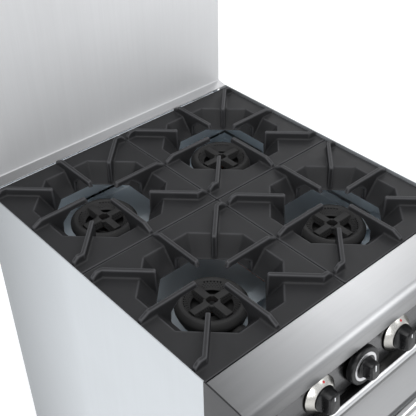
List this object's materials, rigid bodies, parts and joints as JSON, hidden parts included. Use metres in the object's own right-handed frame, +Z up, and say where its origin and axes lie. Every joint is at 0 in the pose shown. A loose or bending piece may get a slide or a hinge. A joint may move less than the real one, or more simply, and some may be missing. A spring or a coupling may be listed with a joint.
{
  "type": "commercial gas range",
  "caption": "Free-standing restaurant gas range with open burners under cast-iron grates, an oven with a drop-down door, and a tall flue riser behind.",
  "frame": {"origin": "on the floor, at the centre of the footprint with the door shut", "axes": "+Z up, +Y from the front to the back, +X to the right of a person facing the range"},
  "size_m": [0.61, 0.8596, 1.469],
  "materials": {
    "stainless": "satin, lightly brushed",
    "dark_steel": "satin dark grey",
    "aluminised": "smooth, aluminised",
    "cast_iron": "matte, fine cast grain",
    "enamel": "glossy vitreous enamel",
    "black_plastic": "satin moulded",
    "nickel": "satin nickel plate",
    "brass": "machined",
    "copper": "drawn tube",
    "glass_rope": "woven glass fibre"
  },
  "bodies": {
    "range_body": {"base_frame": "dark_steel", "left_end_cap": "dark_steel", "right_end_cap": "dark_steel", "gas_manifold": "dark_steel", "door_hinge_left": "dark_steel", "door_hinge_right": "dark_steel", "leg_front_left": "stainless", "leg_front_right": "stainless", "leg_rear_left": "stainless", "leg_rear_right": "stainless", "left_side_panel": "stainless", "right_side_panel": "stainless", "front_frame": "stainless", "lower_front_panel": "stainless", "front_rail": "stainless", "upper_control_panel": "stainless", "lower_control_panel": "stainless", "riser_front": "stainless", "rear_panel": "aluminised", "oven_thermostat": "aluminised", "burner_box": "aluminised", "oven_deck": "aluminised", "riser_back": "aluminised", "burner_valve_1": "brass", "burner_valve_2": "brass", "burner_valve_3": "brass", "burner_valve_4": "brass", "rack_guide_left": "nickel", "rack_guide_right": "nickel", "oven_rack": "nickel", "burner_body_front_left": "cast_iron", "burner_body_front_right": "cast_iron", "burner_body_rear_left": "cast_iron", "burner_body_rear_right": "cast_iron", "burner_head_front_left": "cast_iron", "burner_head_front_right": "cast_iron", "burner_head_rear_left": "cast_iron", "burner_head_rear_right": "cast_iron", "oven_burner": "cast_iron", "pilot_line": "copper", "oven_liner": "enamel", "oven_floor_plate": "enamel", "door_gasket": "glass_rope"},
    "oven_door": {"door_outer": "stainless", "door_inner": "stainless", "door_handle": "stainless"},
    "knob_1": {"burner_knob_1": "black_plastic", "knob_skirt_1": "nickel"},
    "knob_2": {"burner_knob_2": "black_plastic", "knob_skirt_2": "nickel"},
    "knob_3": {"burner_knob_3": "black_plastic", "knob_skirt_3": "nickel"},
    "knob_4": {"burner_knob_4": "black_plastic", "knob_skirt_4": "nickel"},
    "oven_control": {"oven_dial": "black_plastic"},
    "tray": {"drip_tray": "aluminised"},
    "top_grate_front_left": {"grate_front_left": "cast_iron"},
    "top_grate_front_right": {"grate_front_right": "cast_iron"},
    "top_grate_rear_left": {"grate_rear_left": "cast_iron"},
    "top_grate_rear_right": {"grate_rear_right": "cast_iron"}
  },
  "joints": [
    {"name": "door_swing", "type": "hinge", "parent": "range_body", "child": "oven_door", "pos_m": [0, -0.336, 0.334], "axis": [1, 0, 0], "range_deg": [0, 90], "stiffness_Nm_per_rad": 9, "springref_deg": -38.22},
    {"name": "knob_1_turn", "type": "hinge", "parent": "range_body", "child": "knob_1", "pos_m": [-0.26, -0.35, 0.828], "axis": [0, -0.9903, 0.1392], "range_deg": [0, 180]},
    {"name": "knob_2_turn", "type": "hinge", "parent": "range_body", "child": "knob_2", "pos_m": [-0.148, -0.35, 0.828], "axis": [0, -0.9903, 0.1392], "range_deg": [0, 180]},
    {"name": "knob_3_turn", "type": "hinge", "parent": "range_body", "child": "knob_3", "pos_m": [0.038, -0.35, 0.828], "axis": [0, -0.9903, 0.1392], "range_deg": [0, 180]},
    {"name": "knob_4_turn", "type": "hinge", "parent": "range_body", "child": "knob_4", "pos_m": [0.152, -0.35, 0.828], "axis": [0, -0.9903, 0.1392], "range_deg": [0, 180]},
    {"name": "oven_control_turn", "type": "hinge", "parent": "range_body", "child": "oven_control", "pos_m": [-0.055, -0.35, 0.828], "axis": [0, -0.9903, 0.1392], "range_deg": [0, 270]},
    {"name": "tray_slide", "type": "slide", "parent": "range_body", "child": "tray", "axis": [0, -1, 0], "range_m": [0, 0.5]},
    {"name": "grate_front_left_lift", "type": "slide", "parent": "range_body", "child": "top_grate_front_left", "axis": [0, 0, 1], "range_m": [0, 0.12]},
    {"name": "grate_front_right_lift", "type": "slide", "parent": "range_body", "child": "top_grate_front_right", "axis": [0, 0, 1], "range_m": [0, 0.12]},
    {"name": "grate_rear_left_lift", "type": "slide", "parent": "range_body", "child": "top_grate_rear_left", "axis": [0, 0, 1], "range_m": [0, 0.12]},
    {"name": "grate_rear_right_lift", "type": "slide", "parent": "range_body", "child": "top_grate_rear_right", "axis": [0, 0, 1], "range_m": [0, 0.12]}
  ]
}
